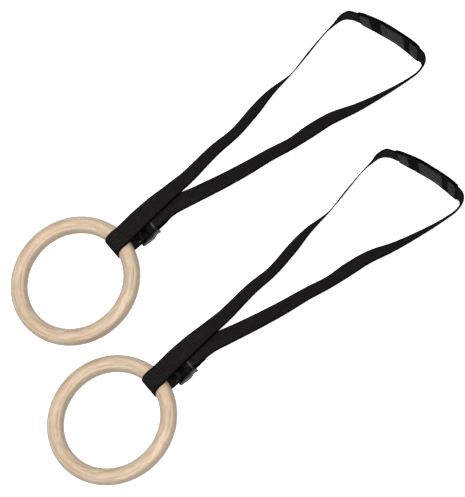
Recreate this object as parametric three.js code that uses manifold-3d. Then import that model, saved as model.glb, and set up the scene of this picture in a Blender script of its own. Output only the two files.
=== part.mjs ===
// A pair of wooden gymnastics rings on webbing straps, laid flat on the ground side by side.
// Millimetres. +X runs along the straps from the rings, +Y across the pair, +Z up.

import * as THREE from "three";
import { mergeVertices } from "three/addons/utils/BufferGeometryUtils.js";
import Module from "manifold-3d";

const wasm = await Module();
wasm.setup();

const DEG = Math.PI / 180;
const GAP = 0.3; // clearance between pieces that touch
const GROUND_GAP = 0.1; // soft pieces lie this far over the ground plane

// Wooden ring: 236 mm outside, 30 mm grip.
const RING = { major: 103, grip: 15, arcSteps: 60, gripSteps: 16 };
const WEBBING = { width: 38, thickness: 2 };
// Shift from the left set to the right set.
const PAIR_SHIFT = { x: -108, y: -249 };

// The strap's half turn round the ring. Its axis sits inside the ring's centreline, because the ring curves
// away under the strap's edges.
const BIGHT = { x: 101.75, y: -1.5, innerRadius: 16.7 };
BIGHT.z = BIGHT.innerRadius + WEBBING.thickness + GROUND_GAP;
BIGHT.midRadius = BIGHT.innerRadius + WEBBING.thickness / 2;

// Cam buckle, between the ring and the sewn end. Its bar and its pin lie at one height.
const BUCKLE = {
  y: -4, start: 129, end: 169.5, innerWidth: 42, axisHeight: 9, pinX: 147, barX: 164,
  pinRadius: 2, barRadius: 2.5, pinLength: 53.6, barLength: 47, plateStart: 133, plateEnd: 157, plateTop: 1.6,
};
// Half width of the buckle along its length: it swells beside the lever and draws in before the webbing bar.
const CHEEK_SWELL = [
  [129, 24], [131, 25], [136, 25.6], [143, 26.3], [150, 26.6], [154, 26], [157, 24.9], [159.5, 23.7],
  [163, 23.5], [166, 24.3], [168, 25], [169.5, 25],
];
// Flat guard bar over the sewn end, between raised ears of the cheeks.
const GUARD = { x: 165.2, height: 15.3, width: 4.6, thickness: 2.4, ear: 2 };
// Lever across the buckle, from one side to the other, and its lift at rest in degrees.
const LEVER = { fromY: -20.4, toY: 16, hub: 4.5, toothTip: 4.9, toothRoot: 4.2, lift: 14 };
// Torsion spring beside the lever's hub.
const SPRING = { y: 17.1, coil: 3.4, wire: 0.45, turns: 2.25, pitch: 1.15, legDrop: 3.5 };

// The stretch of strap inside the wear sleeve is an arc seen from above, so the sleeve slides along it by
// turning about the arc's centre. It leans at one tilt in the middle and rolls a little towards each end.
const ARC = {
  x: 331.8, y: -143.2, radius: 380, middle: 16.5, halfLength: 78, rise: 4.4,
  tilt: -106, flatHalf: 15, roll: -0.13,
};
const SLEEVE = {
  offset: 3, length: 132, width: 47, thickness: 5.4, slotWidth: 39.4, slotHeight: 3.2,
  taperLength: 16, endWidth: 42.4,
};
// The grip panels' ends are measured from the sleeve's middle.
const PANEL = { width: 37, thickness: 1, far: [-63, -43], middle: [-20, 32], near: [45, 64] };
// Box stitching, with its middle this far along the strap from the sewn end.
const STITCHING = { halfLength: 7, halfWidth: 14, thread: 0.9, height: 0.6, fromEnd: 50 };

const WOOD = { color: 0xe2c7a4, roughness: 0.5, metalness: 0 };
const BLACK_WEB = { color: 0x232322, roughness: 0.9, metalness: 0 };
const BLACK_COAT = { color: 0x161616, roughness: 0.35, metalness: 0.3 };
const STEEL = { color: 0x3b3c3e, roughness: 0.4, metalness: 0.9 };
const THREAD = { color: 0x2b2b2a, roughness: 0.8, metalness: 0 };
const SLEEVE_CLOTH = { color: 0x1b1c1c, roughness: 0.95, metalness: 0 };
const GRIP_RUBBER = { color: 0x3b3d3c, roughness: 0.85, metalness: 0 };

// Route of the strap, as [x, y, tilt, rise]: tilt is the roll of the webbing about its own length, 0 with
// its outer face up, and rise is the height of its lower edge over the ground.
// The first row of the far and tail routes only sets the direction at the second.
const TOP_RISE = BIGHT.z + BIGHT.midRadius - WEBBING.thickness / 2 - GROUND_GAP;
const FAR_ROUTE = [
  [BIGHT.x - 6, BIGHT.y, 0, TOP_RISE],
  [BIGHT.x, BIGHT.y, 0, TOP_RISE],
  [BIGHT.x + 5, BIGHT.y, 0, TOP_RISE - 0.4],
  [114, -0.5, 0, 33],
  [150, 7.5, -1, 22],
  [190, 13, -8, 11],
  [230, 15.5, -20, 1.5],
  [265, 15, -26, 0],
  [330, 19.5, -32, 0],
  [380, 18.5, -37, 0],
  [430, 26.5, -37, 0],
  [470, 31.5, -47, 0],
  [520, 31.5, -64, 0],
  [565, 40, -67, 0],
  [610, 48, -65, 0.8],
  [634, 49, -69, 1.2],
  [651, 47, -80, 2.8],
];
const NEAR_ROUTE = [
  [705, -121.5, -116, 3.8],
  [690, -126, -118, 2.2],
  [660, -122.5, -120, 0.5],
  [615, -112.5, -127, 0],
  [565, -98, -137, 0],
  [520, -80.5, -148, 0],
  [480, -72.5, -152, 0],
  [440, -67.5, -147, 0],
  [400, -57, -149, 0],
  [350, -46, -154, 0],
  [300, -33, -158, 0],
  [250, -18, -162, 0],
  [215, -8, -168, 2.5],
  [190, -4.5, -177, 5.5],
  [177, BUCKLE.y, -180, 7.6],
  [170, BUCKLE.y, -180, 10.4],
];
// Lower strand: from under the ring, over the buckle's base plate, to the free end beneath the sewn end.
const TAIL_ROUTE = [
  [BIGHT.x - 6, BIGHT.y, 0, 0],
  [BIGHT.x, BIGHT.y, 0, 0],
  [BIGHT.x + 5, BIGHT.y, 0, 0],
  [113, -2.8, 0, 0.2],
  [121, BUCKLE.y, 0, 1],
  [129, BUCKLE.y, 0, BUCKLE.plateTop + 0.1],
  [144, BUCKLE.y, 0, BUCKLE.plateTop + 0.1],
  [161, BUCKLE.y, 0, BUCKLE.plateTop + 0.1],
  [173, BUCKLE.y, 0, 0.7],
  [184, -3, 0, 0],
  [193, -1.8, 0, 0],
  [201, -0.4, 0, 0],
];

function material(look) {
  return new THREE.MeshStandardMaterial(look);
}

function mesh(name, geometry, look) {
  const made = new THREE.Mesh(geometry, material(look));
  made.name = name;
  return made;
}

// ---- strap path ----

// The webbing's centreline over a route row, resting on its lower edge.
function centrePoint([x, y, tilt, rise]) {
  const byWidth = (WEBBING.width / 2) * Math.abs(Math.sin(tilt * DEG));
  const byThickness = (WEBBING.thickness / 2) * Math.abs(Math.cos(tilt * DEG));
  return new THREE.Vector3(x, y, rise + GROUND_GAP + byWidth + byThickness);
}

// A path is a list of stations: a point on the webbing's centreline and the direction across its width.
function routeStations(route, from, to) {
  const points = route.map(centrePoint);
  const line = new THREE.CatmullRomCurve3(points, false, "centripetal");
  const roll = new THREE.CatmullRomCurve3(route.map((row) => new THREE.Vector3(row[2], 0, 0)));
  const perRow = 8;
  const last = route.length - 1;
  const stations = [];
  for (let i = from * perRow; i <= to * perRow; i += 1) {
    const t = i / (last * perRow);
    stations.push(station(line.getPoint(t), line.getTangent(t), roll.getPoint(t).x));
  }
  return stations;
}

function station(point, tangent, tilt) {
  const left = new THREE.Vector3(-tangent.y, tangent.x, 0).normalize();
  const across = left.multiplyScalar(Math.cos(tilt * DEG));
  across.z = Math.sin(tilt * DEG);
  return { point, across };
}

function arcRow(along) {
  const angle = ARC.middle * DEG - along / ARC.radius;
  const beyondFlat = along - THREE.MathUtils.clamp(along, -ARC.flatHalf, ARC.flatHalf);
  const tilt = ARC.tilt + ARC.roll * beyondFlat;
  return [ARC.x + ARC.radius * Math.cos(angle), ARC.y + ARC.radius * Math.sin(angle), tilt, ARC.rise];
}

function sleeveStations(from, to) {
  const steps = 32;
  return Array.from({ length: steps + 1 }, (_, i) => {
    const along = from + ((to - from) * i) / steps;
    const row = arcRow(along);
    const angle = ARC.middle * DEG - along / ARC.radius;
    const heading = new THREE.Vector3(Math.sin(angle), -Math.cos(angle), 0);
    return station(centrePoint(row), heading, row[2]);
  });
}

// A turn about an axis along Y, from one angle to another in degrees, the webbing's width along +Y.
function turnStations(x, y, z, radius, from, to) {
  const steps = 24;
  return Array.from({ length: steps + 1 }, (_, i) => {
    const angle = (from + ((to - from) * i) / steps) * DEG;
    const point = new THREE.Vector3(x + radius * Math.cos(angle), y, z + radius * Math.sin(angle));
    return { point, across: new THREE.Vector3(0, 1, 0) };
  });
}

function makePath(stations) {
  const kept = stations.filter((s, i) => i === 0 || s.point.distanceTo(stations[i - 1].point) > 0.01);
  let along = 0;
  return kept.map((s, i) => {
    const before = kept[Math.max(i - 1, 0)].point;
    const after = kept[Math.min(i + 1, kept.length - 1)].point;
    if (i > 0) along += s.point.distanceTo(before);
    const forward = after.clone().sub(before).normalize();
    const across = s.across.clone().addScaledVector(forward, -s.across.dot(forward)).normalize();
    return { along, point: s.point, forward, across, outward: forward.clone().cross(across) };
  });
}

function frameAt(path, along) {
  let i = path.findIndex((s) => s.along >= along);
  if (i < 0) i = path.length - 1;
  if (i === 0) return path[0];
  const [a, b] = [path[i - 1], path[i]];
  const t = Math.min((along - a.along) / (b.along - a.along), 1);
  const across = a.across.clone().lerp(b.across, t).normalize();
  const forward = a.forward.clone().lerp(b.forward, t);
  forward.addScaledVector(across, -forward.dot(across)).normalize();
  return { point: a.point.clone().lerp(b.point, t), across, forward, outward: forward.clone().cross(across) };
}

// Places along a path for cross-sections: one wherever it has run on or turned far enough.
function sectionPlaces(path, longest, sharpest) {
  const places = [0];
  let last = path[0];
  for (const s of path) {
    const turn = Math.max(s.forward.angleTo(last.forward), s.across.angleTo(last.across));
    if (s.along - last.along < longest && turn < sharpest * DEG) continue;
    places.push(s.along);
    last = s;
  }
  const end = path[path.length - 1].along;
  if (end - places[places.length - 1] < 0.4) places.pop();
  return [...places, end];
}

// A section drawn across the strap (x across, y outward), swept through the places of a path.
function sweep(path, places, section, reshape = (u) => u) {
  const steps = places.length - 1;
  const geometry = new THREE.ExtrudeGeometry(section, { depth: steps, steps, bevelEnabled: false });
  const position = geometry.attributes.position;
  const spot = new THREE.Vector3();
  for (let i = 0; i < position.count; i += 1) {
    spot.fromBufferAttribute(position, i);
    const along = places[Math.round(spot.z)];
    const frame = frameAt(path, along);
    const u = reshape(spot.x, along);
    const placed = frame.point.clone().addScaledVector(frame.across, u)
      .addScaledVector(frame.outward, spot.y);
    position.setXYZ(i, placed.x, placed.y, placed.z);
  }
  geometry.computeVertexNormals();
  return geometry;
}

function box(halfWidth, bottom, top) {
  return new THREE.Shape([
    new THREE.Vector2(-halfWidth, bottom), new THREE.Vector2(halfWidth, bottom),
    new THREE.Vector2(halfWidth, top), new THREE.Vector2(-halfWidth, top),
  ]);
}

function webbingAlong(path) {
  const half = WEBBING.thickness / 2;
  return sweep(path, sectionPlaces(path, 13, 14), box(WEBBING.width / 2, -half, half));
}

function loopPath() {
  const farRows = [...FAR_ROUTE, arcRow(-ARC.halfLength), arcRow(-ARC.halfLength + 12)];
  const nearRows = [arcRow(ARC.halfLength - 12), arcRow(ARC.halfLength), ...NEAR_ROUTE];
  const wrap = BUCKLE.barRadius + GAP + WEBBING.thickness / 2;
  const barTop = BUCKLE.axisHeight + wrap - WEBBING.thickness / 2 - GROUND_GAP;
  nearRows.push([BUCKLE.barX, BUCKLE.y, -180, barTop]);
  const far = routeStations(farRows, 1, farRows.length - 2);
  const arc = sleeveStations(-ARC.halfLength, ARC.halfLength);
  const near = routeStations(nearRows, 1, nearRows.length - 1);
  const fold = turnStations(BUCKLE.barX, BUCKLE.y, BUCKLE.axisHeight, wrap, 90, 270);
  const sewnEnd = [177, 189].map((x) => {
    const point = new THREE.Vector3(x, BUCKLE.y, BUCKLE.axisHeight - wrap);
    return { point, across: new THREE.Vector3(0, 1, 0) };
  });
  return makePath([...far, ...arc.slice(1), ...near.slice(1), ...fold.slice(1), ...sewnEnd]);
}

// ---- soft pieces ----

function bightGeometry() {
  // Each end stops short of its neighbour by half the gap.
  const trim = GAP / BIGHT.midRadius / DEG;
  const turn = turnStations(BIGHT.x, BIGHT.y, BIGHT.z, BIGHT.midRadius, 270 - trim, 90 + trim);
  return webbingAlong(makePath(turn));
}

// A rectangle of thread with a cross inside it, lying on the upper strand over the sewn end.
function stitchingGeometry(path) {
  const { halfLength, halfWidth, thread, height, fromEnd } = STITCHING;
  const outline = box(halfWidth, -halfLength, halfLength);
  const [insideX, insideY, centre] = [halfWidth - thread, halfLength - thread, thread * 0.7];
  for (const side of [-1, 1]) {
    for (const corners of [
      [[0, side * centre], [insideX - thread, side * insideY], [thread - insideX, side * insideY]],
      [[side * centre, 0], [side * insideX, insideY - thread], [side * insideX, thread - insideY]],
    ]) {
      outline.holes.push(new THREE.Path(corners.map(([x, y]) => new THREE.Vector2(x, y))));
    }
  }
  const geometry = new THREE.ExtrudeGeometry(outline, { depth: height, bevelEnabled: false });
  const position = geometry.attributes.position;
  const spot = new THREE.Vector3();
  const middle = path[path.length - 1].along - fromEnd;
  const surface = -WEBBING.thickness / 2 - GAP;
  for (let i = 0; i < position.count; i += 1) {
    spot.fromBufferAttribute(position, i);
    const frame = frameAt(path, middle + spot.y);
    const placed = frame.point.clone().addScaledVector(frame.across, spot.x)
      .addScaledVector(frame.outward, surface - spot.z);
    position.setXYZ(i, placed.x, placed.y, placed.z);
  }
  geometry.computeVertexNormals();
  return geometry;
}

// Half width of the sleeve at a distance from its middle: its ends close in with a round shoulder.
function sleeveHalfWidth(along) {
  const straight = SLEEVE.length / 2 - SLEEVE.taperLength;
  const inTaper = Math.max(Math.abs(along) - straight, 0) / SLEEVE.taperLength;
  return SLEEVE.width / 2 - ((SLEEVE.width - SLEEVE.endWidth) / 2) * inTaper * inTaper;
}

function sleevePlaces(from, to, longest) {
  const count = Math.max(Math.ceil((to - from) / longest), 1);
  return Array.from({ length: count + 1 }, (_, i) => from + ((to - from) * i) / count);
}

function sleeveGeometry(path, middle) {
  const [w, h] = [SLEEVE.width / 2, SLEEVE.thickness / 2];
  const corner = 1.6;
  const section = new THREE.Shape([
    [-w + corner, -h], [w - corner, -h], [w, -h + corner], [w, h - corner],
    [w - corner, h], [-w + corner, h], [-w, h - corner], [-w, -h + corner],
  ].map(([x, y]) => new THREE.Vector2(x, y)));
  const slot = box(SLEEVE.slotWidth / 2, -SLEEVE.slotHeight / 2, SLEEVE.slotHeight / 2);
  section.holes.push(new THREE.Path(slot.getPoints().reverse()));
  const places = sleevePlaces(middle - SLEEVE.length / 2, middle + SLEEVE.length / 2, 11);
  const narrow = (u, along) => {
    if (Math.abs(u) < SLEEVE.slotWidth / 2 + 0.1) return u;
    return u - Math.sign(u) * (w - sleeveHalfWidth(along - middle));
  };
  return sweep(path, places, section, narrow);
}

function panelGeometry(path, middle, from, to) {
  const near = -SLEEVE.thickness / 2 - GAP;
  const section = box(PANEL.width / 2, near - PANEL.thickness, near);
  const narrow = (u, along) => u - Math.sign(u) * (SLEEVE.width / 2 - sleeveHalfWidth(along - middle));
  return sweep(path, sleevePlaces(middle + from, middle + to, 11), section, narrow);
}

// ---- hard pieces ----

function ringMesh(name) {
  const geometry = new THREE.TorusGeometry(RING.major, RING.grip, RING.gripSteps, RING.arcSteps);
  const made = mesh(name, geometry, WOOD);
  // The strap under one side lifts it, and the far side rests on the ground.
  const rest = RING.grip + GROUND_GAP;
  made.rotation.y = -Math.asin((BIGHT.z - rest) / (2 * RING.major));
  made.position.z = (BIGHT.z + rest) / 2;
  return made;
}

// An outline in the XZ plane, given thickness across Y from one side to the other.
function across(outline, fromY, toY) {
  const form = { depth: toY - fromY, bevelEnabled: false, curveSegments: 6 };
  const geometry = new THREE.ExtrudeGeometry(outline, form);
  geometry.rotateX(90 * DEG);
  geometry.translate(0, toY, 0);
  return geometry;
}

function rod(x, radius, length) {
  const geometry = new THREE.CylinderGeometry(radius, radius, length, 16);
  geometry.translate(x, 0, 0);
  return geometry;
}

function solid(geometry) {
  const bare = geometry.clone();
  bare.deleteAttribute("normal");
  bare.deleteAttribute("uv");
  const merged = mergeVertices(bare);
  const form = { numProp: 3, vertProperties: merged.attributes.position.array, triVerts: merged.index.array };
  return new wasm.Manifold(new wasm.Mesh(form));
}

function geometryOf(shape) {
  const { vertProperties, triVerts } = shape.getMesh();
  const geometry = new THREE.BufferGeometry();
  geometry.setAttribute("position", new THREE.BufferAttribute(vertProperties, 3));
  geometry.setIndex(new THREE.BufferAttribute(triVerts, 1));
  geometry.computeVertexNormals();
  return geometry;
}

function cheekOutline() {
  const { start, end, axisHeight, pinX, barX } = BUCKLE;
  const boss = end - barX;
  const foot = 2;
  const outline = new THREE.Shape();
  outline.moveTo(start + foot, 0);
  outline.lineTo(end - foot, 0);
  outline.absarc(end - foot, foot, foot, -90 * DEG, 0, false);
  outline.lineTo(end, axisHeight + foot);
  outline.absarc(GUARD.x, GUARD.height, GUARD.ear, 20 * DEG, 135 * DEG, false);
  outline.lineTo(barX - boss, axisHeight + boss);
  outline.absarc(pinX, axisHeight, boss, 90 * DEG, 140 * DEG, false);
  outline.absarc(start + foot, 5, foot, 140 * DEG, 180 * DEG, false);
  outline.absarc(start + foot, foot, foot, 180 * DEG, 270 * DEG, false);
  return outline;
}

// The cheek on the -Y side.
function cheekSolid() {
  const inner = -BUCKLE.innerWidth / 2;
  const widest = Math.max(...CHEEK_SWELL.map((row) => row[1]));
  const plan = CHEEK_SWELL.map(([x, half]) => new THREE.Vector2(x, -half));
  plan.push(new THREE.Vector2(BUCKLE.end, inner), new THREE.Vector2(BUCKLE.start, inner));
  const column = new THREE.ExtrudeGeometry(new THREE.Shape(plan), { depth: 20, bevelEnabled: false });
  return solid(across(cheekOutline(), -widest, inner)).intersect(solid(column));
}

function guardOutline() {
  const half = GUARD.thickness / 2;
  const reach = GUARD.width / 2 - half;
  const outline = new THREE.Shape();
  outline.absarc(GUARD.x + reach, GUARD.height, half, -90 * DEG, 90 * DEG, false);
  outline.absarc(GUARD.x - reach, GUARD.height, half, 90 * DEG, 270 * DEG, false);
  return outline;
}

function buckleFrameGeometry() {
  const { plateStart, plateEnd } = BUCKLE;
  const rootY = BUCKLE.innerWidth / 2 + 1;
  const plateTop = BUCKLE.plateTop - GROUND_GAP;
  const plate = new THREE.Shape([[plateStart, 0], [plateEnd, 0], [plateEnd, plateTop], [plateStart, plateTop]]
    .map(([x, z]) => new THREE.Vector2(x, z)));
  let frame = cheekSolid().add(cheekSolid().mirror([0, 1, 0]))
    .add(solid(across(plate, -rootY, rootY)))
    .add(solid(across(guardOutline(), -rootY, rootY)));
  for (const [x, radius] of [[BUCKLE.pinX, BUCKLE.pinRadius], [BUCKLE.barX, BUCKLE.barRadius]]) {
    const hole = rod(x, radius + GAP, 60);
    hole.translate(0, 0, BUCKLE.axisHeight);
    frame = frame.subtract(solid(hole));
  }
  return geometryOf(frame);
}

// The lever's outline about its pivot, pointing along -X: a hub with teeth below, an arm and a thumb lip.
function leverOutline() {
  const { hub, toothTip, toothRoot } = LEVER;
  const outline = new THREE.Shape();
  const teeth = 5;
  const [first, last] = [-140, -70];
  for (let i = 0; i <= 2 * teeth; i += 1) {
    const angle = (first + ((last - first) * i) / (2 * teeth)) * DEG;
    const reach = i % 2 === 0 ? toothRoot : toothTip;
    const spot = [reach * Math.cos(angle), reach * Math.sin(angle)];
    if (i === 0) outline.moveTo(...spot);
    else outline.lineTo(...spot);
  }
  outline.absarc(0, 0, hub, -60 * DEG, 90 * DEG, false);
  const arm = [[-15, 4.3], [-17.5, 5.8], [-20, 5.6], [-20.4, 3], [-18.6, 1.8], [-5, 1.4]];
  for (const [x, z] of arm) outline.lineTo(x, z);
  outline.absarc(0, 0, hub - 0.2, 160 * DEG, 215 * DEG, false);
  const bore = new THREE.Path();
  bore.absarc(0, 0, BUCKLE.pinRadius + GAP, 0, 360 * DEG, true);
  outline.holes.push(bore);
  return outline;
}

function leverMesh(name) {
  const made = mesh(name, across(leverOutline(), LEVER.fromY, LEVER.toY), BLACK_COAT);
  made.position.set(BUCKLE.pinX, 0, BUCKLE.axisHeight);
  made.rotation.y = LEVER.lift * DEG;
  return made;
}

// A torsion spring round the pin, beside the lever's hub, with one leg resting along the base plate's side.
function springGeometry() {
  const { y, coil, wire, turns, pitch, legDrop } = SPRING;
  const points = [];
  const perTurn = 12;
  for (let i = 0; i <= turns * perTurn; i += 1) {
    const angle = (i / perTurn) * 360 * DEG;
    points.push(new THREE.Vector3(coil * Math.sin(angle), y + (pitch * i) / perTurn, coil * Math.cos(angle)));
  }
  points.push(new THREE.Vector3(coil, y + pitch * turns, -legDrop));
  const line = new THREE.CatmullRomCurve3(points);
  const section = new THREE.Shape();
  section.absarc(0, 0, wire, 0, 360 * DEG, false);
  const form = { extrudePath: line, steps: points.length * 2, bevelEnabled: false, curveSegments: 3 };
  const geometry = new THREE.ExtrudeGeometry(section, form);
  geometry.translate(BUCKLE.pinX, 0, BUCKLE.axisHeight);
  return geometry;
}

function buckleRod(name, x, radius, length) {
  const made = mesh(name, rod(0, radius, length), STEEL);
  made.position.set(x, 0, BUCKLE.axisHeight);
  return made;
}

function buckle(side) {
  const group = new THREE.Group();
  group.position.y = BUCKLE.y;
  group.add(mesh(`${side}_buckle_frame`, buckleFrameGeometry(), BLACK_COAT));
  group.add(leverMesh(`${side}_cam_lever`));
  group.add(buckleRod(`${side}_cam_pin`, BUCKLE.pinX, BUCKLE.pinRadius, BUCKLE.pinLength));
  group.add(buckleRod(`${side}_webbing_bar`, BUCKLE.barX, BUCKLE.barRadius, BUCKLE.barLength));
  group.add(mesh(`${side}_cam_spring`, springGeometry(), STEEL));
  return group;
}

// ---- one set, then the pair ----

function nearest(path, x, y) {
  let best = path[0];
  for (const s of path) {
    if (Math.hypot(s.point.x - x, s.point.y - y) < Math.hypot(best.point.x - x, best.point.y - y)) best = s;
  }
  return best.along;
}

function ringSet(side) {
  const set = new THREE.Group();
  const path = loopPath();
  const [middleX, middleY] = arcRow(SLEEVE.offset);
  const middle = nearest(path, middleX, middleY);

  set.add(ringMesh(`${side}_ring`));
  set.add(mesh(`${side}_strap_loop`, webbingAlong(path), BLACK_WEB));
  set.add(mesh(`${side}_strap_bight`, bightGeometry(), BLACK_WEB));
  const tail = makePath(routeStations(TAIL_ROUTE, 1, TAIL_ROUTE.length - 1));
  set.add(mesh(`${side}_strap_tail`, webbingAlong(tail), BLACK_WEB));
  set.add(mesh(`${side}_end_stitching`, stitchingGeometry(path), THREAD));
  set.add(buckle(side));
  set.add(mesh(`${side}_wear_sleeve`, sleeveGeometry(path, middle), SLEEVE_CLOTH));
  for (const place of ["far", "middle", "near"]) {
    set.add(mesh(`${side}_grip_panel_${place}`, panelGeometry(path, middle, ...PANEL[place]), GRIP_RUBBER));
  }
  return set;
}

const pair = new THREE.Group();
pair.add(ringSet("left"));
const rightSet = ringSet("right");
rightSet.position.set(PAIR_SHIFT.x, PAIR_SHIFT.y, 0);
pair.add(rightSet);

// The origin is the middle of the pair's outline, on the ground.
pair.updateMatrixWorld(true);
const extent = new THREE.Box3().setFromObject(pair, true);
const centre = extent.getCenter(new THREE.Vector3());
pair.position.set(-centre.x, -centre.y, -extent.min.z);

const group = new THREE.Group();
group.add(pair);

export default group;
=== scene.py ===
"""A pair of wooden gymnastics rings on black webbing straps, laid flat on a pale floor."""

import math

import bpy
import numpy as np
from mathutils import Matrix, Vector


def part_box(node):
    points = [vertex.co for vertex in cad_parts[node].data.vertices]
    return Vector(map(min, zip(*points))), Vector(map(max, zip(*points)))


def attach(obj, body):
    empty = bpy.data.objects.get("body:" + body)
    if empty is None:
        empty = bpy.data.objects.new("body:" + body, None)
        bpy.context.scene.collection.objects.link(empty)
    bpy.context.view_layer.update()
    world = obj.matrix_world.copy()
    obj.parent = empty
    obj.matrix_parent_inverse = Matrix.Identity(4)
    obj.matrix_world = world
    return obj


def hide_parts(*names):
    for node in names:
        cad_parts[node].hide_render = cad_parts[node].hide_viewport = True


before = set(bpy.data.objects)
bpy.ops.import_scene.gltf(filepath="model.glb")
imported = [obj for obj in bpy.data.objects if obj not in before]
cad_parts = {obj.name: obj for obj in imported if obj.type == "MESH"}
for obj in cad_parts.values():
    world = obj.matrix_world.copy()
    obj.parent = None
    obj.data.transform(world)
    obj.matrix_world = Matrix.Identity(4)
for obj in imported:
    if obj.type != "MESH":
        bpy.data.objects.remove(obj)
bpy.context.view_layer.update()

# ---- sizes, in metres, in a set's own frame: its ring's centre over the floor, +X along the strap ----

SIDES = ("left", "right")
RING_MAJOR, RING_GRIP = 0.103, 0.015
WEB_WIDTH, WEB_THICKNESS = 0.038, 0.002
GROUND_GAP = 0.0001
BIGHT = {"x": 0.10175, "y": -0.0015, "z": 0.0188, "radius": 0.0177}
BUCKLE = {"y": -0.004, "inner": 0.021, "height": 0.009, "pin_x": 0.147, "bar_x": 0.164, "fold": 0.0038}
GUARD = {"x": 0.1652, "height": 0.0153, "width": 0.0046, "thickness": 0.0024}
# The buckle's cheek in sections along X: (x, half width of the buckle, lowest point, highest point).
CHEEK = [
    (0.1290, 0.0240, 0.0016, 0.0054),
    (0.1293, 0.0243, 0.0008, 0.0064),
    (0.1310, 0.0250, 0.0000, 0.0078),
    (0.1360, 0.0256, 0.0000, 0.0112),
    (0.1410, 0.0261, 0.0000, 0.0136),
    (0.1450, 0.0264, 0.0000, 0.0144),
    (0.1500, 0.0266, 0.0000, 0.0145),
    (0.1540, 0.0260, 0.0000, 0.0145),
    (0.1570, 0.0249, 0.0000, 0.0146),
    (0.1595, 0.0237, 0.0000, 0.0150),
    (0.1620, 0.0235, 0.0000, 0.0158),
    (0.1636, 0.0236, 0.0000, 0.0167),
    (0.1652, 0.0241, 0.0000, 0.0172),
    (0.1668, 0.0246, 0.0000, 0.0166),
    (0.1680, 0.0250, 0.0002, 0.0142),
    (0.1690, 0.0251, 0.0008, 0.0112),
    (0.1695, 0.0248, 0.0020, 0.0086),
]
ARC = {"x": 0.3318, "y": -0.1432, "radius": 0.380, "middle": 16.5, "rise": 0.0044}
ARC |= {"half": 0.078, "flat": 0.015, "tilt": -106.0, "roll": -130.0}
SLEEVE = {"offset": 0.003, "half": 0.066, "width": 0.047, "thickness": 0.0054, "taper": 0.016}
SLEEVE |= {"end_width": 0.0424, "slot_width": 0.0394, "slot_height": 0.0032}
PATCH = {"width": 0.036, "height": 0.0007}
PATCH_SPANS = {"far": (-0.063, -0.043), "middle": (-0.020, 0.032), "near": (0.045, 0.064)}

# The strap's route, as (x, y, tilt, rise): tilt in degrees is the webbing's roll about its own length, and
# rise is the height of its lower edge over the floor. The first row of the far and tail routes only sets
# the direction at the second.
FAR_ROUTE = [
    (0.09575, -0.0015, 0, 0.0354),
    (0.10175, -0.0015, 0, 0.0354),
    (0.10675, -0.0015, 0, 0.0350),
    (0.114, -0.0005, 0, 0.033),
    (0.15, 0.0075, -1, 0.022),
    (0.19, 0.013, -8, 0.011),
    (0.23, 0.0155, -20, 0.0015),
    (0.265, 0.015, -26, 0),
    (0.33, 0.0195, -32, 0),
    (0.38, 0.0185, -37, 0),
    (0.43, 0.0265, -37, 0),
    (0.47, 0.0315, -47, 0),
    (0.52, 0.0315, -64, 0),
    (0.565, 0.04, -67, 0),
    (0.61, 0.048, -65, 0.0008),
    (0.634, 0.049, -69, 0.0012),
    (0.651, 0.047, -80, 0.0028),
]
NEAR_ROUTE = [
    (0.705, -0.1215, -116, 0.0038),
    (0.69, -0.126, -118, 0.0022),
    (0.66, -0.1225, -120, 0.0005),
    (0.615, -0.1125, -127, 0),
    (0.565, -0.098, -137, 0),
    (0.52, -0.0805, -148, 0),
    (0.48, -0.0725, -152, 0),
    (0.44, -0.0675, -147, 0),
    (0.4, -0.057, -149, 0),
    (0.35, -0.046, -154, 0),
    (0.3, -0.033, -158, 0),
    (0.25, -0.018, -162, 0),
    (0.215, -0.008, -168, 0.0025),
    (0.19, -0.0045, -177, 0.0055),
    (0.177, -0.0040, -180, 0.0076),
    (0.170, -0.0040, -180, 0.0104),
    (0.164, -0.0040, -180, 0.0117),
]
TAIL_ROUTE = [
    (0.09575, -0.0015, 0, 0),
    (0.10175, -0.0015, 0, 0),
    (0.10675, -0.0015, 0, 0),
    (0.113, -0.0028, 0, 0.0002),
    (0.121, -0.0040, 0, 0.0010),
    (0.129, -0.0040, 0, 0.0017),
    (0.144, -0.0040, 0, 0.0017),
    (0.161, -0.0040, 0, 0.0017),
    (0.173, -0.0040, 0, 0.0007),
    (0.184, -0.0030, 0, 0),
    (0.193, -0.0018, 0, 0),
    (0.201, -0.0004, 0, 0),
]


def set_origin(side):
    low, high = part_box(f"{side}_ring")
    return np.array([(low.x + high.x) / 2, (low.y + high.y) / 2, 0.0])


# ---- camera ----


def make_camera():
    """A long lens over the pair, rolled so that the straps run up to the right."""
    elevation, roll = math.radians(64.5), math.radians(40.68)
    target = Vector((-0.0028, -0.0155, 0.015))
    frame_height, lens, sensor = 0.8627, 1000, 36
    level_right = Vector((1, 0, 0))
    level_up = Vector((0, math.sin(elevation), math.cos(elevation)))
    right = math.cos(roll) * level_right - math.sin(roll) * level_up
    up = math.sin(roll) * level_right + math.cos(roll) * level_up
    back = right.cross(up)
    data = bpy.data.cameras.new("camera")
    data.lens, data.sensor_width = lens, sensor
    distance = frame_height * lens / sensor
    data.clip_start, data.clip_end = 1, 3 * distance
    camera = bpy.data.objects.new("camera", data)
    camera.location = target + back * distance
    camera.rotation_mode = "QUATERNION"
    camera.rotation_quaternion = Matrix((right, up, back)).transposed().to_quaternion()
    bpy.context.scene.collection.objects.link(camera)
    bpy.context.scene.camera = camera


# ---- strap path ----


def unit(vectors):
    return vectors / np.linalg.norm(vectors, axis=-1, keepdims=True)


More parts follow.
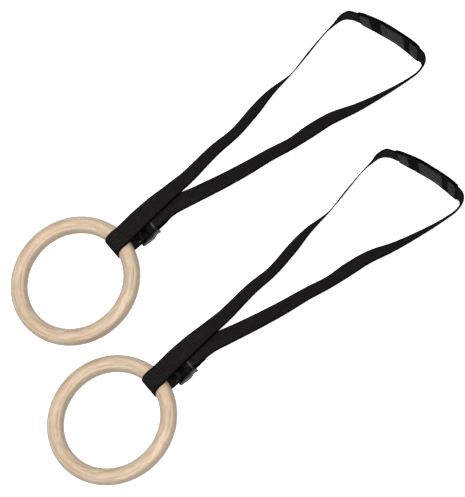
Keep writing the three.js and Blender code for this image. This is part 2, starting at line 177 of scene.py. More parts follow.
def through(points, first, last, per_row=8):
    """A centripetal Catmull-Rom curve through the points, with per_row samples a step from first to last."""
    points = np.array(points, float)
    if points.ndim == 1:
        points = points[:, None]
    ends = 2 * points[:1] - points[1:2], 2 * points[-1:] - points[-2:-1]
    padded = np.vstack([ends[0], points, ends[1]])
    out = []
    for i in range(first, last):
        p0, p1, p2, p3 = padded[i : i + 4]
        d0, d1, d2 = (np.linalg.norm(b - a) ** 0.5 for a, b in ((p0, p1), (p1, p2), (p2, p3)))
        d1 = d1 if d1 > 1e-4 else 1.0
        d0 = d0 if d0 > 1e-4 else d1
        d2 = d2 if d2 > 1e-4 else d1
        m1 = d1 * ((p1 - p0) / d0 - (p2 - p0) / (d0 + d1) + (p2 - p1) / d1)
        m2 = d1 * ((p2 - p1) / d1 - (p3 - p1) / (d1 + d2) + (p3 - p2) / d2)
        for t in np.arange(per_row) / per_row:
            a, b = 2 * (p1 - p2) + m1 + m2, 3 * (p2 - p1) - 2 * m1 - m2
            out.append(p1 + m1 * t + b * t**2 + a * t**3)
    out.append(points[last])
    return np.array(out)


def centre_point(x, y, tilt, rise):
    """The webbing's centreline over a route row, resting on its lower edge."""
    lift = WEB_WIDTH / 2 * abs(math.sin(math.radians(tilt)))
    lift += WEB_THICKNESS / 2 * abs(math.cos(math.radians(tilt)))
    return (x, y, rise + GROUND_GAP + lift)


def across_at(heading, tilt):
    """The direction across the webbing, from its heading seen from above and its tilt in degrees."""
    left = unit(np.stack([-heading[:, 1], heading[:, 0]], axis=1))
    angle = np.radians(tilt)
    return np.column_stack([left * np.cos(angle)[:, None], np.sin(angle)])


def route(rows, first, last):
    """(points, directions across) along a route, from row first to row last."""
    points = through([centre_point(*row) for row in rows], first, last)
    tilt = through([row[2] for row in rows], first, last)[:, 0]
    return points, across_at(np.gradient(points, axis=0), tilt)


def arc_row(along):
    """The route's row at a distance along the sleeve's arc from its middle."""
    angle = math.radians(ARC["middle"]) - along / ARC["radius"]
    beyond = along - min(max(along, -ARC["flat"]), ARC["flat"])
    x = ARC["x"] + ARC["radius"] * math.cos(angle)
    y = ARC["y"] + ARC["radius"] * math.sin(angle)
    return (x, y, ARC["tilt"] + ARC["roll"] * beyond, ARC["rise"])


def arc(first, last, steps):
    """(points, directions across) along the sleeve's arc."""
    along = np.linspace(first, last, steps + 1)
    rows = [arc_row(a) for a in along]
    angle = math.radians(ARC["middle"]) - along / ARC["radius"]
    heading = np.column_stack([np.sin(angle), -np.cos(angle)])
    return np.array([centre_point(*row) for row in rows]), across_at(heading, [row[2] for row in rows])


def turn(x, y, z, radius, first, last):
    """(points, directions across) round an axis along Y, between two angles in degrees."""
    angle = np.radians(np.linspace(first, last, 25))
    points = np.column_stack([x + radius * np.cos(angle), np.full(25, y), z + radius * np.sin(angle)])
    return points, np.tile([0.0, 1.0, 0.0], (25, 1))


class Path:
    """A strip's centreline, with a direction across it and one out of its outer face at each point."""

    def __init__(self, *stretches):
        points, across = (np.vstack([s[i] for s in stretches]) for i in (0, 1))
        kept = np.concatenate([[True], np.linalg.norm(np.diff(points, axis=0), axis=1) > 1e-5])
        self.point, across = points[kept], across[kept]
        self.along = np.concatenate([[0], np.cumsum(np.linalg.norm(np.diff(self.point, axis=0), axis=1))])
        self.forward = unit(np.gradient(self.point, self.along, axis=0))
        self.across = unit(across - self.forward * (across * self.forward).sum(1, keepdims=True))
        self.outward = np.cross(self.forward, self.across)
        self.length = self.along[-1]

    def place(self, along, u, n):
        """Points at distances along the path, u across it and n out of its outer face."""
        along = np.asarray(along, float)

        def at(values):
            return np.stack([np.interp(along, self.along, values[:, i]) for i in range(3)], axis=-1)

        sides = unit(at(self.across)) * np.asarray(u)[..., None]
        return at(self.point) + sides + unit(at(self.outward)) * np.asarray(n)[..., None]


def strap_path():
    """The whole strap, from its free end under the ring, round the ring and the loop, to its sewn end."""
    tail, tail_across = route(TAIL_ROUTE, 1, len(TAIL_ROUTE) - 1)
    inset = ARC["half"] - 0.012
    far_rows = [*FAR_ROUTE, arc_row(-ARC["half"]), arc_row(-inset)]
    near_rows = [arc_row(inset), arc_row(ARC["half"]), *NEAR_ROUTE]
    fold = BUCKLE["fold"]
    end = np.array([[x, BUCKLE["y"], BUCKLE["height"] - fold] for x in (0.177, 0.189)])
    return Path(
        (tail[::-1], tail_across[::-1]),
        turn(BIGHT["x"], BIGHT["y"], BIGHT["z"], BIGHT["radius"], 270, 90),
        route(far_rows, 1, len(far_rows) - 2),
        arc(-ARC["half"], ARC["half"], 32),
        route(near_rows, 1, len(near_rows) - 1),
        turn(BUCKLE["bar_x"], BUCKLE["y"], BUCKLE["height"], fold, 90, 270),
        (end, np.tile([0.0, 1.0, 0.0], (2, 1))),
    )


# ---- materials ----


def tone(red, green, blue):
    """A linear colour from 8-bit display values."""
    values = np.array([red, green, blue]) / 255
    linear = np.where(values > 0.04045, ((values + 0.055) / 1.055) ** 2.4, values / 12.92)
    return (*map(float, linear), 1.0)


class Finish:
    """A material whose nodes are added by short calls."""

    def __init__(self, name, **settings):
        self.material = bpy.data.materials.new(name)
        self.material.use_nodes = True
        self.tree = self.material.node_tree
        self.tree.nodes.clear()
        self.shader = self.add("ShaderNodeBsdfPrincipled")
        output = self.add("ShaderNodeOutputMaterial")
        self.tree.links.new(self.shader.outputs[0], output.inputs[0])
        for key, value in settings.items():
            self.shader.inputs[key.replace("_", " ")].default_value = value

    def add(self, kind, **settings):
        node = self.tree.nodes.new(kind)
        for key, value in settings.items():
            setattr(node, key, value)
        return node

    def feed(self, socket, value):
        if isinstance(value, bpy.types.NodeSocket):
            self.tree.links.new(value, socket)
        else:
            socket.default_value = value

    def shade(self, name, value):
        self.feed(self.shader.inputs[name], value)

    def math(self, operation, a, b=0.0, clamp=False):
        node = self.add("ShaderNodeMath", operation=operation, use_clamp=clamp)
        self.feed(node.inputs[0], a)
        self.feed(node.inputs[1], b)
        return node.outputs[0]

    def wave(self, value, period):
        """A sine of a distance, from 0 to 1."""
        sine = self.math("SINE", self.math("MULTIPLY", value, 2 * math.pi / period))
        return self.math("ADD", self.math("MULTIPLY", sine, 0.5), 0.5)

    def attribute(self, name):
        return self.add("ShaderNodeAttribute", attribute_name=name)

    def spread(self, value, low, high, to_low=0.0, to_high=1.0):
        """Maps low..high to to_low..to_high with soft ends."""
        node = self.add("ShaderNodeMapRange", interpolation_type="SMOOTHSTEP")
        for socket, v in zip(node.inputs, (value, low, high, to_low, to_high)):
            self.feed(socket, v)
        return node.outputs[0]

    def noise(self, vector, scale, detail=3.0, roughness=0.5, w=None):
        node = self.add("ShaderNodeTexNoise", noise_dimensions="3D" if w is None else "4D")
        self.feed(node.inputs["Vector"], vector)
        if w is not None:
            self.feed(node.inputs["W"], w)
        for key, value in (("Scale", scale), ("Detail", detail), ("Roughness", roughness)):
            node.inputs[key].default_value = value
        return node.outputs[0]

    def blend(self, factor, a, b):
        """Colour a where factor is 0, b where it is 1."""
        node = self.add("ShaderNodeMix", data_type="RGBA")
        self.feed(node.inputs[0], factor)
        self.feed(node.inputs[6], a)
        self.feed(node.inputs[7], b)
        return node.outputs[2]

    def bump(self, height, depth, strength=1.0):
        """Raises the surface by height times depth metres."""
        node = self.add("ShaderNodeBump")
        node.inputs["Strength"].default_value = strength
        node.inputs["Distance"].default_value = depth
        self.feed(node.inputs["Height"], height)
        self.shade("Normal", node.outputs[0])

    def where(self):
        """The surface's place in the row frame, in metres."""
        return self.add("ShaderNodeTexCoord").outputs["Object"]


def birch():
    """Pale laminated birch under satin varnish: fibres, pores and plies that follow the ring, with painted
    shade darkening the tube's inner and outer sides.
    """
    f = Finish("birch_satin", Specular_IOR_Level=0.3, Coat_Weight=0.1, Coat_Roughness=0.3)
    around, depth, height = (f.attribute(name) for name in ("around", "depth", "height"))

    def grain(rounds, fine, detail=3.0, roughness=0.5):
        """Noise with a number of cells round the ring, and a number to the metre through its section."""
        place = f.add("ShaderNodeVectorMath", operation="MULTIPLY")
        f.feed(place.inputs[0], around.outputs["Vector"])
        place.inputs[1].default_value = (rounds, rounds, fine)
        across = f.math("MULTIPLY", depth.outputs["Fac"], fine)
        return f.noise(place.outputs[0], 1.0, detail, roughness, w=across)

    fibres, streaks, figure = grain(9.0, 1300.0), grain(3.2, 330.0), grain(1.7, 60.0, detail=2.0)
    pores = f.spread(grain(30.0, 2600.0, detail=1.0), 0.66, 0.74)
    figure = f.spread(figure, 0.42, 0.62)
    wander = f.math("ADD", height.outputs["Fac"], f.math("MULTIPLY", streaks, 0.003))
    ply = f.wave(wander, 0.0046)
    glue = f.spread(ply, 0.88, 1.0)
    colour = f.blend(f.spread(streaks, 0.36, 0.66), tone(181, 163, 143), tone(161, 142, 119))
    colour = f.blend(f.spread(fibres, 0.48, 0.72, 0.0, 0.8), colour, tone(139, 118, 97))
    colour = f.blend(f.math("MULTIPLY", figure, 0.3), colour, tone(170, 145, 118))
    colour = f.blend(f.math("MULTIPLY", ply, f.math("MULTIPLY", figure, 0.25)), colour, tone(140, 116, 92))
    colour = f.blend(f.math("MULTIPLY", glue, f.math("MULTIPLY", figure, 0.4)), colour, tone(114, 90, 68))
    colour = f.blend(f.math("MULTIPLY", pores, 0.4), colour, tone(112, 86, 64))
    # Painted shade: the tube's inner and outer sides darken towards a grey-brown, standing in for the light
    # falling off at the tube's edges.
    side = f.math("ABSOLUTE", depth.outputs["Fac"])
    colour = f.blend(f.spread(side, 0.0085, 0.0156, 0.0, 0.9), colour, tone(108, 96, 82))
    f.shade("Base Color", colour)
    f.shade("Roughness", f.spread(fibres, 0.3, 0.7, 0.42, 0.55))
    f.bump(f.math("SUBTRACT", fibres, pores), 0.00008, 0.5)
    return f.material


def strip_place(f):
    """(distance across, distance along) a strip in metres, from its UV map."""
    parts = f.add("ShaderNodeSeparateXYZ")
    f.feed(parts.inputs[0], f.add("ShaderNodeUVMap", uv_map="strip").outputs[0])
    return parts.outputs[0], parts.outputs[1]


def webbing():
    """Black polyamide webbing in a herringbone weave, with painted shade: its edges and rounded sides are
    painted near black as a dark outline.
    """
    f = Finish("black_webbing", Specular_IOR_Level=0.0, Sheen_Weight=0.004, Sheen_Roughness=0.5)
    across, along = strip_place(f)
    column = 0.0063
    zigzag = f.math("PINGPONG", f.math("ADD", across, column), column)
    ribs = f.wave(f.math("ADD", along, f.math("MULTIPLY", zigzag, 0.8)), 0.0021)
    seam = f.spread(f.wave(across, column), 0.0, 0.12)
    picks = f.wave(f.math("ADD", across, f.math("MULTIPLY", ribs, 0.0004)), 0.00105)
    mixed = f.math("ADD", f.math("MULTIPLY", ribs, 0.7), f.math("MULTIPLY", picks, 0.3))
    weave = f.math("MULTIPLY", mixed, seam)
    # Painted shade: the outer 2 mm and the rounded sides of the strap, a dark outline along its edges.
    edge = f.spread(f.math("ABSOLUTE", across), 0.0156, 0.0176)
    place = f.where()
    dust = f.noise(place, 60.0, detail=4.0, roughness=0.6)
    speckle = f.noise(place, 650.0, detail=3.0)
    colour = f.blend(weave, tone(6, 6, 6), tone(33, 32, 31))
    colour = f.blend(f.spread(speckle, 0.5, 0.75, 0.0, 0.4), colour, tone(54, 52, 48))
    colour = f.blend(f.spread(dust, 0.45, 0.75, 0.0, 0.25), colour, tone(34, 33, 32))
    # The painted shade on the edges goes on here, near black.
    colour = f.blend(f.math("MULTIPLY", edge, 0.95), colour, tone(1, 1, 1))
    f.shade("Base Color", colour)
    f.shade("Roughness", f.spread(weave, 0.0, 1.0, 0.95, 0.72))
    f.bump(f.math("ADD", weave, f.math("MULTIPLY", speckle, 0.3)), 0.00022, 0.8)
    return f.material


def thread():
    """Twisted polyester sewing thread."""
    f = Finish("black_thread", Specular_IOR_Level=0.15)
    place = f.where()
    twist = f.noise(place, 2600.0, detail=2.0)
    f.shade("Base Color", f.blend(f.spread(twist, 0.35, 0.65), tone(14, 14, 14), tone(40, 39, 37)))
    f.shade("Roughness", f.spread(twist, 0.3, 0.7, 0.6, 0.8))
    f.bump(twist, 0.00008, 0.8)
    return f.material


def glossy_black():
    """Black coated metal with a half gloss, a faint orange peel and edges that are worn a little lighter."""
    f = Finish("gloss_black_coat", Specular_IOR_Level=0.1, Coat_Weight=0.04, Coat_Roughness=0.2)
    place = f.where()
    peel = f.noise(place, 700.0, detail=2.0)
    scuffs = f.noise(place, 160.0, detail=5.0, roughness=0.7)
    edges = f.spread(f.add("ShaderNodeNewGeometry").outputs["Pointiness"], 0.52, 0.6)
    worn = f.math("MULTIPLY", edges, f.spread(scuffs, 0.35, 0.65), clamp=True)
    f.shade("Base Color", f.blend(worn, tone(3, 3, 4), tone(38, 39, 41)))
    f.shade("Roughness", f.spread(scuffs, 0.35, 0.75, 0.3, 0.5))
    f.bump(peel, 0.00005, 0.5)
    return f.material


def steel():
    """Blackened steel, turned, with fine rings of tool marks and a dull film."""
    f = Finish("blackened_steel", Metallic=1.0)
    place = f.where()
    film = f.noise(place, 260.0, detail=4.0)
    parts = f.add("ShaderNodeSeparateXYZ")
    f.feed(parts.inputs[0], place)
    marks = f.wave(f.math("ADD", parts.outputs[1], f.math("MULTIPLY", film, 0.0002)), 0.0003)
    f.shade("Base Color", f.blend(f.spread(film, 0.35, 0.7), tone(46, 47, 49), tone(26, 27, 28)))
    f.shade("Roughness", f.spread(film, 0.3, 0.7, 0.26, 0.42))
    f.bump(marks, 0.00002, 0.4)
    return f.material


def sleeve_cloth():
    """Dense black cloth of the wear sleeve, plain-woven, nearly matt, painted near black along its edges."""
    f = Finish("sleeve_cloth", Specular_IOR_Level=0.0, Sheen_Weight=0.004, Sheen_Roughness=0.6)
    across, along = strip_place(f)
    warp, weft = f.wave(across, 0.0012), f.wave(along, 0.0012)
    weave = f.math("ADD", f.math("MULTIPLY", warp, 0.5), f.math("MULTIPLY", weft, 0.5))
    place = f.where()
    lint = f.noise(place, 500.0, detail=3.0)
    folds = f.noise(place, 45.0, detail=3.0)
    # The outer edges and rounded sides of the sleeve are painted near black.
    edge = f.spread(f.math("ABSOLUTE", across), 0.0185, 0.0215)
    colour = f.blend(weave, tone(3, 3, 3), tone(14, 14, 14))
    colour = f.blend(f.spread(lint, 0.52, 0.75, 0.0, 0.6), colour, tone(34, 35, 34))
    colour = f.blend(f.spread(folds, 0.5, 0.8, 0.0, 0.2), colour, tone(20, 21, 21))
    colour = f.blend(f.math("MULTIPLY", edge, 0.95), colour, tone(1, 1, 1))
    f.shade("Base Color", colour)
    f.shade("Roughness", f.spread(weave, 0.2, 0.9, 0.95, 0.8))
    f.bump(f.math("ADD", weave, folds), 0.0002, 0.7)
    return f.material


def grip_rubber():
    """Grey speckled non-slip patch, finely pebbled."""
    f = Finish("grip_speckle", Specular_IOR_Level=0.1)
    place = f.where()
    cells = f.add("ShaderNodeTexVoronoi", feature="F1")
    f.feed(cells.inputs["Vector"], place)
    cells.inputs["Scale"].default_value = 750.0
    pebble = f.spread(cells.outputs["Distance"], 0.1, 0.7, 1.0, 0.0)
    speck = f.noise(place, 330.0, detail=4.0, roughness=0.75)
    wear = f.noise(place, 70.0, detail=3.0)
    colour = f.blend(pebble, tone(13, 14, 14), tone(32, 33, 33))
    colour = f.blend(f.spread(speck, 0.5, 0.62, 0.0, 0.6), colour, tone(64, 66, 65))
    colour = f.blend(f.spread(wear, 0.42, 0.7, 0.0, 0.35), colour, tone(30, 31, 31))
    f.shade("Base Color", colour)
    f.shade("Roughness", f.spread(pebble, 0.0, 1.0, 0.92, 0.72))
    f.bump(pebble, 0.00025, 0.8)
    return f.material


# ---- meshes ----


def make(name, points, faces, finish, uv=None):
    """A smooth mesh object. uv is one (u, v) for each vertex."""
    data = bpy.data.meshes.new(name)
    data.from_pydata(np.asarray(points, float).tolist(), [], [[int(i) for i in face] for face in faces])
    data.polygons.foreach_set("use_smooth", [True] * len(data.polygons))
    if uv is not None:
        layer = data.uv_layers.new(name="strip")
        corners = np.zeros(len(data.loops), np.int32)
        data.loops.foreach_get("vertex_index", corners)
        layer.data.foreach_set("uv", np.asarray(uv, np.float32)[corners].ravel())
    data.materials.append(finish)
    made = bpy.data.objects.new(name, data)
    bpy.context.scene.collection.objects.link(made)
    return made


def grid_faces(rows, columns, close_rows=False):
    """Quads over rows of points, each row a closed outline."""
    faces = []
    for i in range(rows if close_rows else rows - 1):
        a, b = i * columns, (i + 1) % rows * columns
        for j in range(columns):
            k = (j + 1) % columns
            faces.append((a + j, a + k, b + k, b + j))
    return faces


def capped(rows, columns):
    """The faces of a closed outline swept through rows, with both ends filled."""
    last = (rows - 1) * columns
    ends = [list(range(columns))[::-1], list(range(last, last + columns))]
    return grid_faces(rows, columns) + ends


def merged(parts):
    """One (points, faces) from several."""
    points, faces, count = [], [], 0
    for part_points, part_faces in parts:
        points.append(part_points)
        faces += [[i + count for i in face] for face in part_faces]
        count += len(part_points)
    return np.vstack(points), faces


def rounded(made, width):
    """Rounds an object's edges."""
    bevel = made.modifiers.new("rounded edges", "BEVEL")
    bevel.width, bevel.segments, bevel.limit_method = width, 3, "ANGLE"
    bevel.angle_limit = math.radians(32)
    bevel.harden_normals = True
    return made


def wooden_ring(name, side, finish):
    """A round-section ring, lifted on the side where the strap passes under it."""
    phi = np.arange(240) * math.radians(1.5)
    theta = np.arange(56) * (2 * math.pi / 56)
    phi, theta = (a.ravel() for a in np.meshgrid(phi, theta, indexing="ij"))
    depth, height = RING_GRIP * np.cos(theta), RING_GRIP * np.sin(theta)
    flat = np.column_stack([(RING_MAJOR + depth) * np.cos(phi), (RING_MAJOR + depth) * np.sin(phi), height])
    low_rest = RING_GRIP + GROUND_GAP
    lean = math.asin((BIGHT["z"] - low_rest) / (2 * RING_MAJOR))
    points = flat @ np.array(Matrix.Rotation(-lean, 3, "Y")).T + [0, 0, (BIGHT["z"] + low_rest) / 2]
    faces = [face[::-1] for face in grid_faces(240, 56, close_rows=True)]
    made = make(name, points + set_origin(side), faces, finish)
    around = np.column_stack([np.cos(phi), np.sin(phi), height])
    for key, kind, value in (
        ("around", "FLOAT_VECTOR", around),
        ("depth", "FLOAT", depth),
        ("height", "FLOAT", height),
    ):
        stored = made.data.attributes.new(key, kind, "POINT").data
        stored.foreach_set("vector" if kind == "FLOAT_VECTOR" else "value", value.astype(np.float32).ravel())
    return made


def stadium(width, height):
    """A flat strip's outline (u, n), counter-clockwise, with half-round sides."""
    t = height / 2
    flat = np.linspace(t - width / 2, width / 2 - t, 13)
    side = np.radians(np.linspace(-90, 90, 7))[1:-1]
    u = np.concatenate([flat, flat[-1] + t * np.cos(side), flat[::-1], flat[0] - t * np.cos(side)])
    n = np.concatenate([np.full(13, -t), t * np.sin(side), np.full(13, t), -t * np.sin(side)])
    return u, n


def strip(name, side, path, along, u, n, finish, closed=False):
    """Outlines of (u, n) swept along a path, one row to each along. closed joins last and first rows."""
    rows, columns = u.shape
    along = np.repeat(np.asarray(along)[:, None], columns, axis=1)
    points = path.place(along, u, n).reshape(-1, 3) + set_origin(side)
    faces = grid_faces(rows, columns, close_rows=True) if closed else capped(rows, columns)
    return make(name, points, faces, finish, np.column_stack([u.ravel(), along.ravel()]))


def webbing_strap(name, side, path, finish):
    u, n = (np.tile(a, (len(path.along), 1)) for a in stadium(WEB_WIDTH, WEB_THICKNESS))
    return strip(name, side, path, path.along, u, n, finish)


def wear_sleeve(name, side, path, finish):
    """A flattened cloth tube with its walls, its ends drawn in and rolled over."""
    half, middle = SLEEVE["half"], path.length / 2 + SLEEVE["offset"]
    places = np.linspace(-half, half, 71)
    rows = []
    for s in places:
        inward = max(abs(s) - (half - SLEEVE["taper"]), 0) / SLEEVE["taper"]
        width = SLEEVE["width"] - (SLEEVE["width"] - SLEEVE["end_width"]) * inward**2
        height = SLEEVE["thickness"] * (1 - 0.12 * inward**2)
        if abs(s) == half:
            s, width, height = s * 0.993, width - 0.0002, height - 0.0002
        rows.append((s, width, height))
    lip = SLEEVE["end_width"] - 0.0012, SLEEVE["thickness"] * 0.88 - 0.0009
    slot = SLEEVE["slot_width"], SLEEVE["slot_height"]
    rows += [(half, *lip), (half - 0.0006, *slot)]
    rows += [(s, *slot) for s in places[-4:3:-6]]
    rows += [(0.0006 - half, *slot), (-half, *lip)]
    outlines = [stadium(width, height) for _, width, height in rows]
    u, n = (np.array([outline[i] for outline in outlines]) for i in (0, 1))
    return strip(name, side, path, [middle + s for s, _, _ in rows], u, n, finish, closed=True)


def grip_patch(name, side, path, span, finish):
    """A thin patch with round corners on the sleeve's inner face."""
    corner, low, high = 0.006, *span
    eased = corner * np.array([0, 0.02, 0.08, 0.2, 0.4, 0.7])
    s = np.concatenate([low + eased, np.linspace(low + corner, high - corner, 15), high - eased[::-1]])
    reach = np.maximum(np.maximum(low + corner - s, s - high + corner), 0)
    width = PATCH["width"] - 2 * (corner - np.sqrt(np.maximum(corner**2 - reach**2, 0)))
    inward = np.maximum(np.abs(s) - (SLEEVE["half"] - SLEEVE["taper"]), 0) / SLEEVE["taper"]
    width = width - (SLEEVE["width"] - SLEEVE["end_width"]) * inward**2
    base, thick = SLEEVE["thickness"] / 2 - 0.0003, PATCH["height"] + 0.0003
    u, n = stadium(1.0, thick)
    edge = np.clip(np.minimum(s - low, high - s) / 0.0006, 0.25, 1)
    flat = np.clip(u, thick / 2 - 0.5, 0.5 - thick / 2) / (0.5 - thick / 2)
    across = flat * (width[:, None] / 2 - thick / 2) + (u - flat * (0.5 - thick / 2))
    out = -base - (thick / 2 - n[None, :]) * edge[:, None]
    return strip(name, side, path, path.length / 2 + SLEEVE["offset"] + s, across, out, finish)


def stitches(name, side, path, runs, height, finish):
    """Rows of stitches, in runs from (along, across) to (along, across), at a height over the outer face."""
    pitch, radius = 0.0032, 0.0004
    angle = np.radians(np.arange(6) * 60)
    swell = ((0.0, 0.2), (0.12, 0.75), (0.5, 1.0), (0.8, 0.75), (0.92, 0.2))
    parts = []
    for start, end in runs:
        start, end = np.array(start), np.array(end)
        count = max(round(float(np.linalg.norm(end - start)) / pitch), 1)
        step = (end - start) / count
        sideways = np.array([-step[1], step[0]]) / np.linalg.norm(step)
        for i in range(count):
            flat = [start + (i + t) * step + radius * r * np.cos(angle)[:, None] * sideways for t, r in swell]
            rise = [height + radius * r * np.sin(angle) for _, r in swell]
            flat, rise = np.vstack(flat), np.concatenate(rise)
            parts.append((path.place(flat[:, 0], flat[:, 1], rise), capped(len(swell), 6)))
    points, faces = merged(parts)
    return make(name, points + set_origin(side), faces, finish)


def box_runs(low, high, half_width, cross=False):
    """A sewn rectangle between two places along a strip, with a cross in it if asked."""
    a, b = (low, -half_width), (high, -half_width)
    c, d = (high, half_width), (low, half_width)
    return [(a, b), (b, c), (c, d), (d, a)] + ([(a, c), (b, d)] if cross else [])


def arc_points(x, z, radius, first, last, count=10):
    angle = np.radians(np.linspace(first, last, count))
    return list(zip(x + radius * np.cos(angle), z + radius * np.sin(angle)))


def prism(outline, y_from, y_to):
    """(points, faces) of a counter-clockwise outline of (x, z) given thickness along Y."""
    x, z = np.array(outline).T
    near, far = (np.column_stack([x, np.full(len(x), BUCKLE["y"] + y), z]) for y in (y_from, y_to))
    return np.vstack([far, near]), capped(2, len(x))


def turned(profile, x):
    """(points, faces) of a profile of (y, radius) turned about the buckle's axis height at x."""
    angle = np.radians(np.arange(28) * (360 / 28))
    height = BUCKLE["height"]
    rings = [
        np.column_stack([x + r * np.cos(angle), np.full(28, BUCKLE["y"] - y), height + r * np.sin(angle)])
        for y, r in profile
    ]
    return np.vstack(rings), capped(len(profile), 28)


def headed_pin(half, radius, head, dome):
    """The profile of a rod with a low domed head at each end."""
    end = [(half - dome, radius), (half - dome, head), (half - 0.5 * dome, head * 0.92), (half, head * 0.5)]
    return [(-y, r) for y, r in end[::-1]] + end


def cheek(sign):
    """(points, faces) of one cheek, on the -Y side for a sign of -1: round-edged sections lofted along X."""
    sections = np.array(CHEEK)
    steps = np.linspace(0, len(CHEEK) - 1, 5 * len(CHEEK))
    x = np.interp(steps, range(len(CHEEK)), sections[:, 0])
    outer, bottom, top = (np.interp(x, sections[:, 0], sections[:, i]) for i in (1, 2, 3))
    points = []
    for x_at, y_out, low, high in zip(x, outer, bottom, top):
        centre = (y_out + BUCKLE["inner"]) / 2, (low + high) / 2
        half = (y_out - BUCKLE["inner"]) / 2, (high - low) / 2
        radius = min(0.0013, *(0.7 * h for h in half))
        for quarter, (sy, sz) in enumerate(((1, 1), (-1, 1), (-1, -1), (1, -1))):
            for angle in np.radians(np.linspace(0, 90, 6) + 90 * quarter):
                y = centre[0] + sy * (half[0] - radius) + radius * math.cos(angle)
                z = centre[1] + sz * (half[1] - radius) + radius * math.sin(angle)
                points.append((x_at, BUCKLE["y"] + sign * y, z))
    faces = capped(len(x), 24)
    return np.array(points), faces if sign > 0 else [face[::-1] for face in faces]


def buckle_body(name, side, finish):
    """Two cheeks joined by a base plate and by a flat guard bar over the sewn end."""
    plate = [(0.133, 0), (0.157, 0), (0.157, 0.0015), (0.133, 0.0015)]
    half, reach = GUARD["thickness"] / 2, (GUARD["width"] - GUARD["thickness"]) / 2
    guard = arc_points(GUARD["x"] + reach, GUARD["height"], half, -90, 90)
    guard += arc_points(GUARD["x"] - reach, GUARD["height"], half, 90, 270)
    root = BUCKLE["inner"] + 0.001
    points, faces = merged([cheek(-1), cheek(1), prism(plate, -root, root), prism(guard, -root, root)])
    return make(name, points + set_origin(side), faces, finish)


def cam_lever(name, side, finish):
    """The lever: a toothed hub, an arm with a ribbed pad and a turned-up thumb lip."""
    teeth = []
    for i in range(11):
        angle, reach = math.radians(-140 + 7 * i), 0.0042 if i % 2 == 0 else 0.0049
        teeth.append((reach * math.cos(angle), reach * math.sin(angle)))
    ribs = []
    for i in range(6):
        x = -0.0062 - 0.0014 * i
        ribs += [(x, 0.0045), (x - 0.0004, 0.0049), (x - 0.0009, 0.0049)]
    lip = [(-0.0150, 0.0043), (-0.0175, 0.0058), (-0.0190, 0.0061), (-0.0200, 0.0056), (-0.0206, 0.0043)]
    lip += [(-0.0204, 0.0030), (-0.0186, 0.0018), (-0.0050, 0.0014)]
    front, back = arc_points(0, 0, 0.0045, -60, 90, 14), arc_points(0, 0, 0.0043, 160, 215, 6)
    outline = teeth + front + ribs + lip + back
    lift = math.radians(14)
    outline = [
        (BUCKLE["pin_x"] + x * math.cos(lift) + z * math.sin(lift),
         BUCKLE["height"] - x * math.sin(lift) + z * math.cos(lift))
        for x, z in outline
    ]
    points, faces = prism(outline, -0.0204, 0.016)
    return rounded(make(name, points + set_origin(side), faces, finish), 0.0004)


def cam_spring(name, side, finish):
    """A torsion spring beside the lever's hub, one leg down to the base plate."""
    coil, turns, pitch = 0.0034, 2.25, 0.00115
    angle = np.linspace(0, turns * 2 * math.pi, 80)
    y = 0.0171 + pitch * angle / (2 * math.pi)
    points = np.column_stack([coil * np.sin(angle), y, coil * np.cos(angle)])
    points = np.vstack([points, [coil, y[-1], -0.0035]])
    points += np.array([BUCKLE["pin_x"], BUCKLE["y"], BUCKLE["height"]]) + set_origin(side)
    data = bpy.data.curves.new(name, "CURVE")
    data.dimensions = "3D"
    data.bevel_depth, data.bevel_resolution, data.use_fill_caps = 0.00045, 3, True
    wire = data.splines.new("POLY")
    wire.points.add(len(points) - 1)
    wire.points.foreach_set("co", np.column_stack([points, np.ones(len(points))]).ravel())
    data.materials.append(finish)
    made = bpy.data.objects.new(name, data)
    bpy.context.scene.collection.objects.link(made)
    return made


# ---- the pair ----


def stand_in(piece, body, slot, *nodes):
    """piece rides on a body and stands for CAD nodes, which it hides. slot is not used."""
    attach(piece, body)
    if nodes:
        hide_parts(*nodes)
    return piece


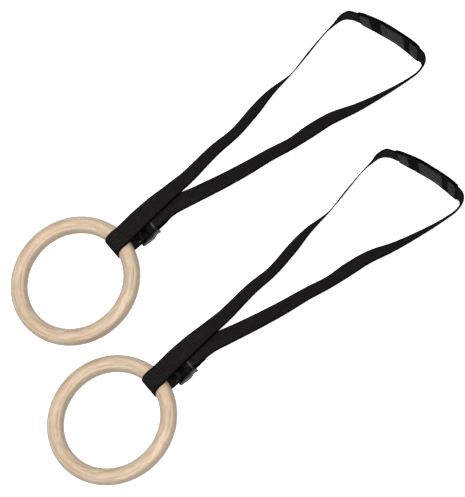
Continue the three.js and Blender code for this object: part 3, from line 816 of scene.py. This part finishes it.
def ring_set(side, finishes):
    wood, web, sewing, coat, plated, cloth, rubber = finishes
    strap = f"{side}_strap"

    torus = wooden_ring(f"{side}_wooden_ring", side, wood)
    ring = stand_in(torus, f"{side}_hand_ring", "birch", f"{side}_ring")
    path = strap_path()
    webbing_piece = webbing_strap(f"{side}_webbing", side, path, web)
    stand_in(webbing_piece, strap, "webbing", *(f"{side}_strap_{part}" for part in ("loop", "bight", "tail")))

    sewn = path.length - 0.050
    box = box_runs(sewn - 0.007, sewn + 0.007, 0.014, cross=True)
    seam = stitches(f"{side}_box_stitching", side, path, box, -WEB_THICKNESS / 2 - 0.0001, sewing)
    stand_in(seam, strap, "thread", f"{side}_end_stitching")

    stand_in(buckle_body(f"{side}_buckle_body", side, coat), strap, "buckle_coat", f"{side}_buckle_frame")
    stand_in(cam_lever(f"{side}_lever", side, coat), f"{side}_lever", "buckle_coat", f"{side}_cam_lever")
    for part, x, half, radius, head in (
        ("cam_pin", "pin_x", 0.0272, 0.0020, 0.0031),
        ("webbing_bar", "bar_x", 0.0244, 0.0025, 0.0034),
    ):
        points, faces = turned(headed_pin(half, radius, head, 0.0009), BUCKLE[x])
        rod = rounded(make(f"{side}_{part}_rod", points + set_origin(side), faces, plated), 0.0002)
        stand_in(rod, strap, "pin_steel", f"{side}_{part}")
    stand_in(cam_spring(f"{side}_torsion_spring", side, plated), strap, "pin_steel", f"{side}_cam_spring")

    body, arc_path = f"{side}_sleeve", Path(arc(-ARC["half"], ARC["half"], 78))
    sleeve = stand_in(
        wear_sleeve(f"{side}_sleeve_tube", side, arc_path, cloth), body, "sleeve_cloth", f"{side}_wear_sleeve"
    )
    middle, face = arc_path.length / 2 + SLEEVE["offset"], -SLEEVE["thickness"] / 2
    edge, reach = SLEEVE["width"] / 2 - 0.0024, SLEEVE["half"] - SLEEVE["taper"]
    runs = [((middle - reach, sign * edge), (middle + reach, sign * edge)) for sign in (-1, 1)]
    on_sleeve = [stitches(f"{side}_sleeve_seams", side, arc_path, runs, face, sewing)]
    stand_in(on_sleeve[0], body, "thread")
    for where, span in PATCH_SPANS.items():
        patch = grip_patch(f"{side}_grip_patch_{where}", side, arc_path, span, rubber)
        on_sleeve.append(stand_in(patch, body, "grip_rubber", f"{side}_grip_panel_{where}"))


# ---- floor and light ----


def make_floor():
    f = Finish("pale_floor", Roughness=0.9, Specular_IOR_Level=0.1, Emission_Strength=0.35)
    faint = f.noise(f.where(), 8.0, detail=2.0)
    f.shade("Base Color", f.blend(faint, (0.93, 0.93, 0.93, 1), (0.95, 0.95, 0.95, 1)))
    reach, z = 60.0, -0.0002
    corners = [(-reach, -reach, z), (reach, -reach, z), (reach, reach, z), (-reach, reach, z)]
    floor = make("floor", corners, [(0, 1, 2, 3)], f.material)


def make_light():
    world = bpy.data.worlds.new("studio")
    bpy.context.scene.world = world
    world.use_nodes = True
    background = world.node_tree.nodes["Background"]
    background.inputs["Color"].default_value = (1.0, 1.0, 1.0, 1.0)
    background.inputs["Strength"].default_value = 0.4
    data = bpy.data.lights.new("softbox", "SUN")
    data.energy, data.angle = 4.7, math.radians(50)
    lamp = bpy.data.objects.new("softbox", data)
    toward = Vector((-0.06, -0.36, 0.93))
    lamp.rotation_mode = "QUATERNION"
    lamp.rotation_quaternion = toward.to_track_quat("Z", "Y")
    bpy.context.scene.collection.objects.link(lamp)


make_camera()
make_floor()
make_light()
finishes = birch(), webbing(), thread(), glossy_black(), steel(), sleeve_cloth(), grip_rubber()
for side in SIDES:
    ring_set(side, finishes)

bpy.context.scene.view_settings.view_transform = "Standard"
